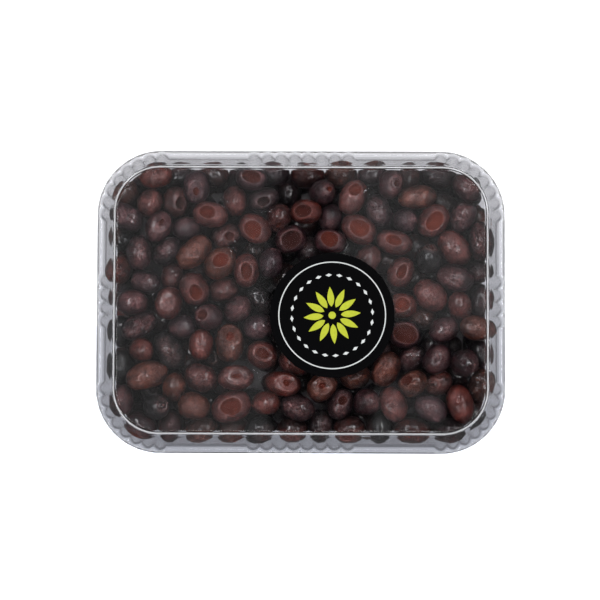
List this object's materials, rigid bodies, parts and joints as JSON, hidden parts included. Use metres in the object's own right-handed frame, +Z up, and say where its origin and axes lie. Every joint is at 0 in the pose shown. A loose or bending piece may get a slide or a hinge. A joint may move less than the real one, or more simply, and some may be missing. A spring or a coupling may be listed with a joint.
{
  "type": "pack of olives",
  "caption": "Shut clear plastic tray with a fluted wall and a pressed-on lid, filled with pitted dark olives, with a round label on top.",
  "frame": {"origin": "on the surface that the pack stands on, below the middle of the tray", "axes": "+X along the long side, +Z up, the side nearest the viewer at -Y"},
  "size_m": [0.19, 0.141, 0.052],
  "materials": {
    "tray_plastic": "clear thin moulded plastic, smooth",
    "lid_plastic": "clear thin moulded plastic, smooth, a little misted inside",
    "label_print": "black satin printed film",
    "olive_skin": "moist, softly shiny fruit skin"
  },
  "bodies": {
    "root": {"tray": "tray_plastic", "lid": "lid_plastic", "label": "label_print", "olives": "olive_skin"}
  },
  "joints": []
}
